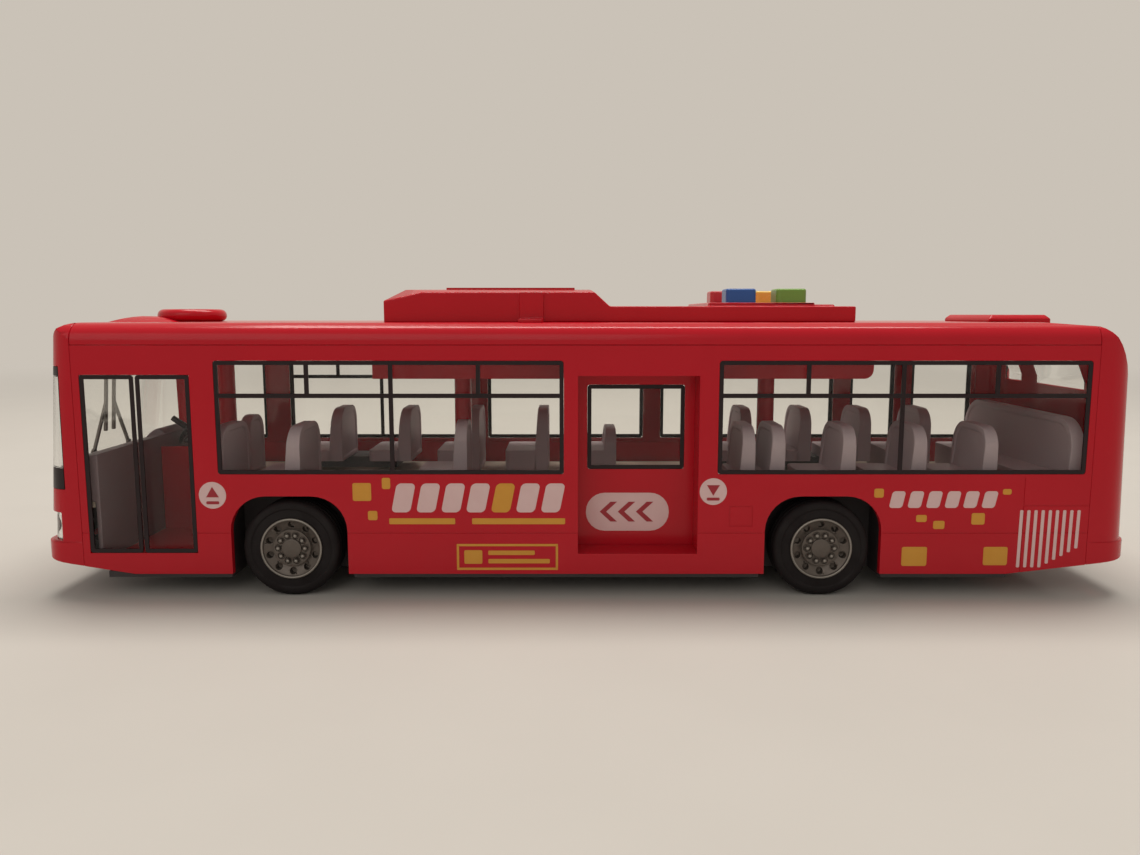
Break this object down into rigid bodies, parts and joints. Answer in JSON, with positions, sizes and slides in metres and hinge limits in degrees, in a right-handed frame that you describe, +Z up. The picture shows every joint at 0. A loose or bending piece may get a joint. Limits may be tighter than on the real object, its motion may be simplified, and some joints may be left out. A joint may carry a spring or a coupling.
{
  "type": "toy bus",
  "caption": "Toy city bus with rolling wheels on an inertia drive, a sliding middle door, glazed cabin with seats, and a roof sound unit with push buttons.",
  "frame": {"origin": "on the floor under the tyres, at the middle of the bus's length and width", "axes": "+X towards the tail, +Y away from the door side, +Z up"},
  "size_m": [0.292, 0.073, 0.0827],
  "materials": {
    "body_red": "glossy moulded red plastic",
    "chassis_black": "black moulded plastic with a fine grain",
    "clear_plastic": "clear polished plastic",
    "trim_black": "black printed and moulded trim",
    "lamp_clear": "clear lamp lens",
    "lamp_red": "red and amber lamp lens",
    "floor_beige": "beige grey moulded plastic",
    "seat_grey": "brown grey moulded plastic",
    "dash_grey": "dark grey moulded plastic",
    "cell_can": "plain wrapped dry cell",
    "board_green": "green circuit board",
    "speaker_black": "black speaker frame",
    "dome_rubber": "pale silicone rubber",
    "steel": "bright steel",
    "drive_white": "natural white moulded plastic",
    "rim_grey": "grey satin moulded plastic",
    "tyre_black": "black vinyl tyre",
    "button_red": "glossy red plastic",
    "button_yellow": "glossy yellow plastic",
    "button_blue": "glossy blue plastic",
    "button_green": "glossy green plastic"
  },
  "bodies": {
    "bus_body": {"chassis_base": "chassis_black", "near_side_panel": "body_red", "far_side_panel": "body_red", "roof_shell": "body_red", "front_cap": "body_red", "rear_cap": "body_red", "door_recess_frame": "body_red", "near_front_window": "clear_plastic", "near_rear_window": "clear_plastic", "far_windows": "clear_plastic", "windscreen": "clear_plastic", "rear_windows": "clear_plastic", "front_door": "clear_plastic", "near_window_bars": "trim_black", "far_window_bars": "trim_black", "windscreen_bands": "trim_black", "headlamp_lenses": "lamp_clear", "tail_lamp_lenses": "lamp_red", "wipers": "trim_black", "interior_deck": "floor_beige", "near_seats": "seat_grey", "far_seats": "seat_grey", "rear_bench": "seat_grey", "dashboard": "dash_grey", "driver_seat": "seat_grey", "steering_wheel": "dash_grey", "roof_vent": "body_red", "roof_hatch": "body_red", "roof_pod": "body_red", "battery_cover": "body_red", "battery_cells": "cell_can", "module_tray": "body_red", "circuit_board": "board_green", "speaker": "speaker_black", "dome_red": "dome_rubber", "dome_yellow": "dome_rubber", "dome_blue": "dome_rubber", "dome_green": "dome_rubber", "screws": "steel", "motor_housing": "drive_white"},
    "front_axle": {"front_axle_shaft": "steel", "front_rim_near": "rim_grey", "front_rim_far": "rim_grey", "front_tyre_near": "tyre_black", "front_tyre_far": "tyre_black"},
    "rear_axle": {"rear_axle_shaft": "steel", "rear_rim_near": "rim_grey", "rear_rim_far": "rim_grey", "rear_tyre_near": "tyre_black", "rear_tyre_far": "tyre_black", "axle_gear": "drive_white"},
    "idler": {"idler_gear": "drive_white"},
    "flywheel": {"flywheel": "steel"},
    "sliding_door": {"mid_door": "body_red", "mid_door_window": "clear_plastic", "mid_door_bars": "trim_black"},
    "button_red": {"button_red": "button_red"},
    "button_yellow": {"button_yellow": "button_yellow"},
    "button_blue": {"button_blue": "button_blue"},
    "button_green": {"button_green": "button_green"}
  },
  "joints": [
    {"name": "front_axle_spin", "type": "hinge", "parent": "bus_body", "child": "front_axle", "pos_m": [-0.0793, 0, 0.013], "axis": [0, 1, 0], "continuous": true},
    {"name": "rear_axle_spin", "type": "hinge", "parent": "bus_body", "child": "rear_axle", "pos_m": [0.0627, 0, 0.013], "axis": [0, 1, 0], "continuous": true},
    {"name": "idler_spin", "type": "hinge", "parent": "bus_body", "child": "idler", "pos_m": [0.05434, 0, 0.01381], "axis": [0, 1, 0], "continuous": true},
    {"name": "flywheel_spin", "type": "hinge", "parent": "bus_body", "child": "flywheel", "pos_m": [0.04598, 0, 0.01461], "axis": [0, 1, 0], "continuous": true},
    {"name": "door_slide", "type": "slide", "parent": "bus_body", "child": "sliding_door", "axis": [-1, 0, 0], "range_m": [0, 0.0285]},
    {"name": "button_red_press", "type": "slide", "parent": "bus_body", "child": "button_red", "axis": [0, 0, -1], "range_m": [0, 0.0012], "stiffness_N_per_m": 600, "springref_m": -0.0005, "deforming": ["dome_red"]},
    {"name": "button_yellow_press", "type": "slide", "parent": "bus_body", "child": "button_yellow", "axis": [0, 0, -1], "range_m": [0, 0.0012], "stiffness_N_per_m": 600, "springref_m": -0.0005, "deforming": ["dome_yellow"]},
    {"name": "button_blue_press", "type": "slide", "parent": "bus_body", "child": "button_blue", "axis": [0, 0, -1], "range_m": [0, 0.0012], "stiffness_N_per_m": 600, "springref_m": -0.0005, "deforming": ["dome_blue"]},
    {"name": "button_green_press", "type": "slide", "parent": "bus_body", "child": "button_green", "axis": [0, 0, -1], "range_m": [0, 0.0012], "stiffness_N_per_m": 600, "springref_m": -0.0005, "deforming": ["dome_green"]}
  ],
  "couplings": [
    {"joint": "idler_spin", "follows": "rear_axle_spin", "ratio": -1.8},
    {"joint": "flywheel_spin", "follows": "rear_axle_spin", "ratio": 3.24}
  ]
}
